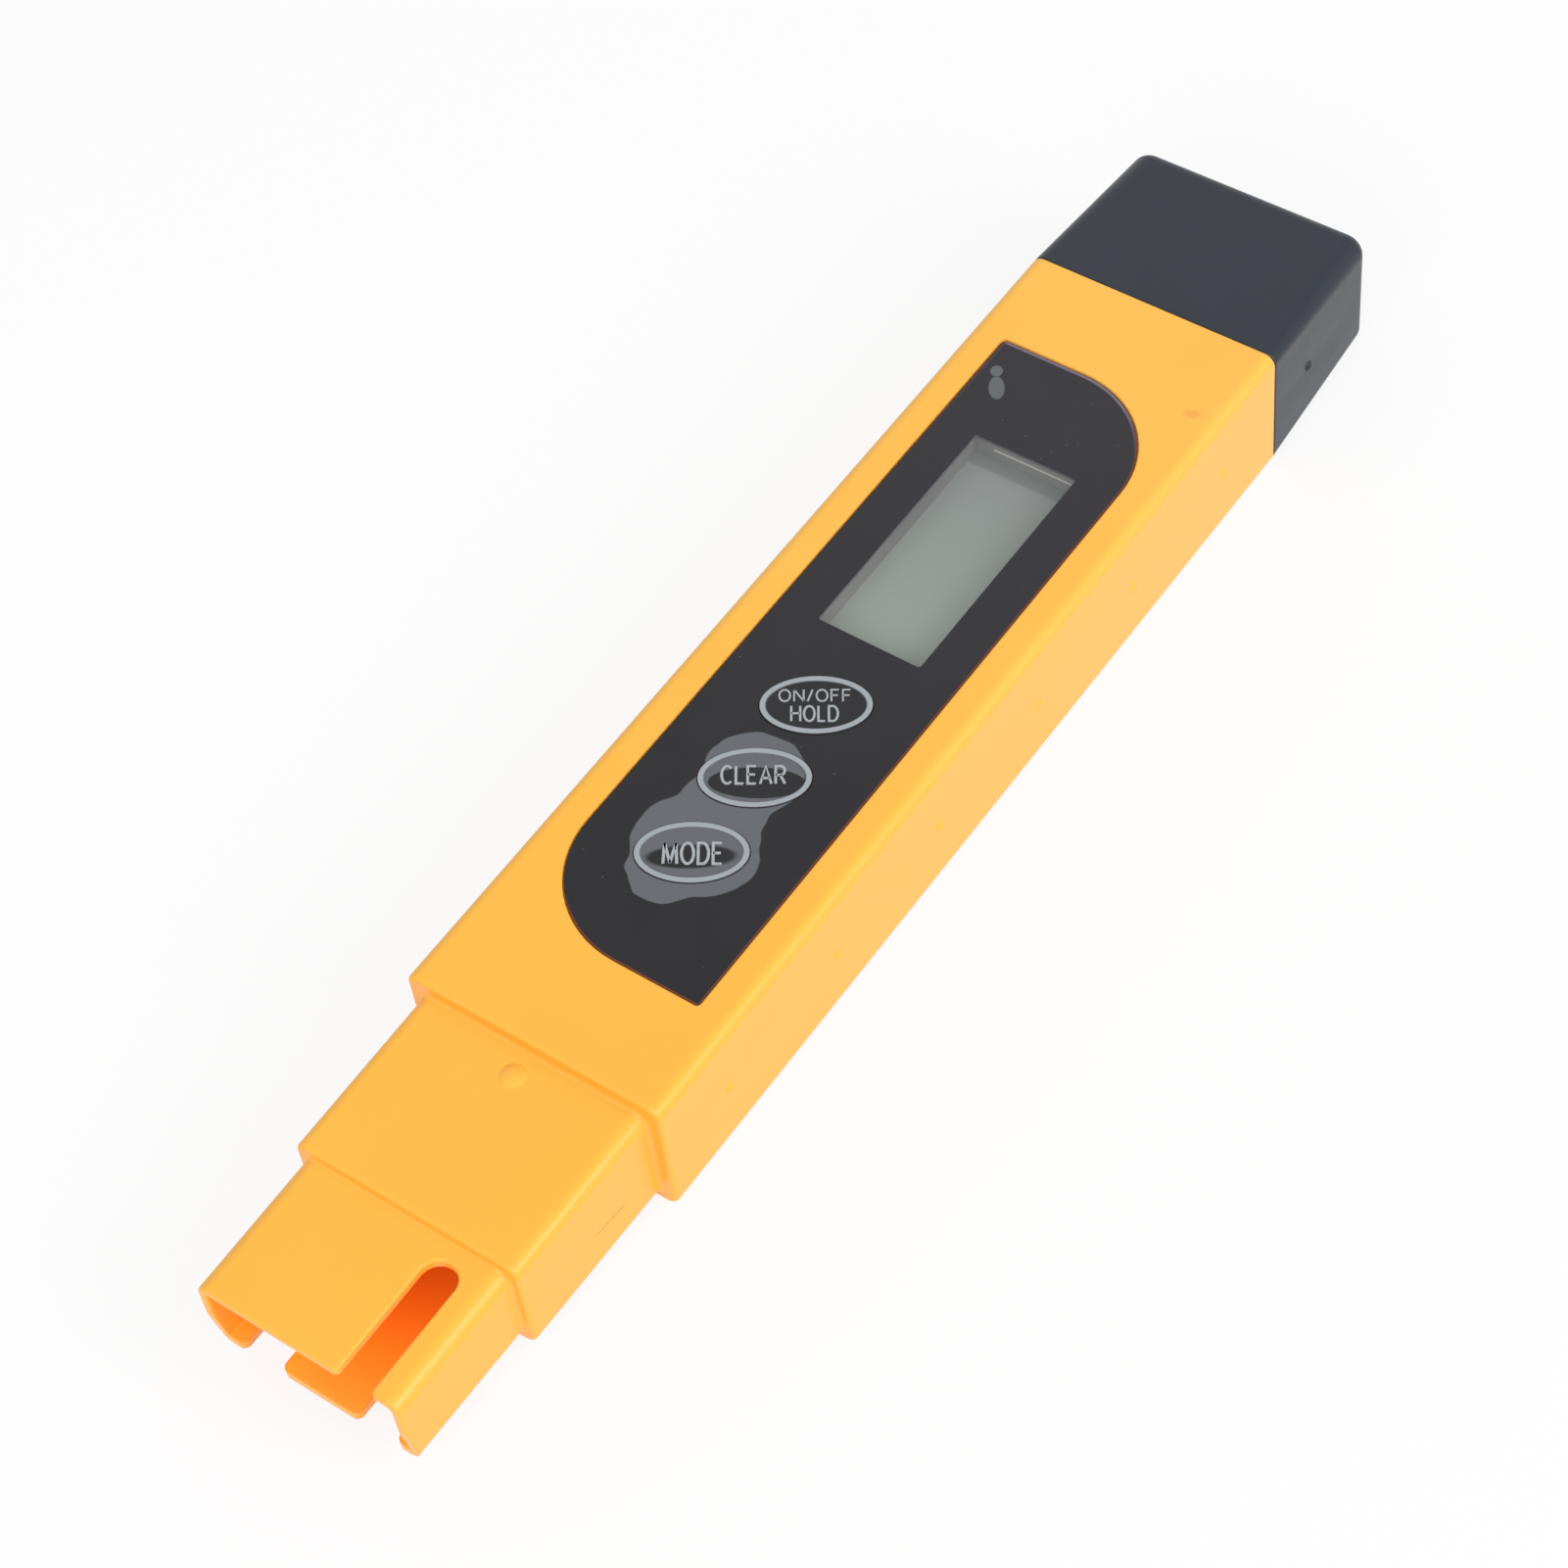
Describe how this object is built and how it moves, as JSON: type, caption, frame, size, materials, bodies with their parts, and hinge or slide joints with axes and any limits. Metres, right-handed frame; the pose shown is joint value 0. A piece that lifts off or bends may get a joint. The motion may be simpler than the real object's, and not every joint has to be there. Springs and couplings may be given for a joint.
{
  "type": "tds meter",
  "caption": "Orange pocket meter for dissolved solids in water, with a black battery cap, a display window and three keys",
  "frame": {"origin": "middle of the footprint, on the flat back that the meter rests on", "axes": "+Y along the meter from the probe end to the battery cap, +Z out of the display, +X to the right of the display seen with the cap up"},
  "size_m": [0.0286, 0.1544, 0.0152],
  "materials": {
    "orange_plastic": "satin",
    "black_plastic": "satin",
    "printed_film": "satin",
    "clear_film": "gloss",
    "dark_plastic": "matte",
    "polarizer_film": "satin",
    "display_glass": "gloss",
    "reflector_foil": "satin",
    "conductive_rubber": "matte",
    "pale_plastic": "matte",
    "green_board": "satin",
    "epoxy": "gloss",
    "resistor_body": "satin",
    "capacitor_body": "satin",
    "switch_plastic": "matte",
    "steel": "brushed",
    "seal_rubber": "matte",
    "red_insulation": "satin",
    "black_insulation": "satin",
    "grey_insulation": "satin"
  },
  "bodies": {
    "meter": {"housing": "orange_plastic", "panel_overlay": "printed_film", "display_window": "clear_film", "lcd_bezel": "dark_plastic", "probe_block": "dark_plastic", "front_polarizer": "polarizer_film", "front_glass": "display_glass", "rear_glass": "display_glass", "rear_reflector": "reflector_foil", "zebra_strips": "conductive_rubber", "lcd_frame": "pale_plastic", "carrier_tray": "pale_plastic", "battery_holder": "pale_plastic", "circuit_board": "green_board", "chip_blob": "epoxy", "resistors": "resistor_body", "capacitors": "capacitor_body", "crystal": "steel", "switch_bodies": "steel", "board_screws": "steel", "first_battery": "steel", "second_battery": "steel", "negative_contact": "steel", "positive_contact": "steel", "contact_bridge": "steel", "temperature_sensor": "steel", "left_electrode": "steel", "right_electrode": "steel", "probe_seal": "seal_rubber", "red_lead": "red_insulation", "right_lead": "red_insulation", "black_lead": "black_insulation", "left_lead": "black_insulation", "sensor_leads": "grey_insulation"},
    "cap": {"battery_cover": "black_plastic"},
    "power_button": {"power_key": "printed_film", "power_plunger": "pale_plastic", "power_switch_stem": "switch_plastic"},
    "clear_button": {"clear_key": "printed_film", "clear_plunger": "pale_plastic", "clear_switch_stem": "switch_plastic"},
    "mode_button": {"mode_key": "printed_film", "mode_plunger": "pale_plastic", "mode_switch_stem": "switch_plastic"}
  },
  "joints": [
    {"name": "battery_cover_slide", "type": "slide", "parent": "meter", "child": "cap", "axis": [0, 1, 0], "range_m": [0, 0.022]},
    {"name": "power_key_press", "type": "slide", "parent": "meter", "child": "power_button", "axis": [0, 0, -1], "range_m": [0, 0.0003], "stiffness_N_per_m": 400},
    {"name": "clear_key_press", "type": "slide", "parent": "meter", "child": "clear_button", "axis": [0, 0, -1], "range_m": [0, 0.0003], "stiffness_N_per_m": 400},
    {"name": "mode_key_press", "type": "slide", "parent": "meter", "child": "mode_button", "axis": [0, 0, -1], "range_m": [0, 0.0003], "stiffness_N_per_m": 400}
  ]
}
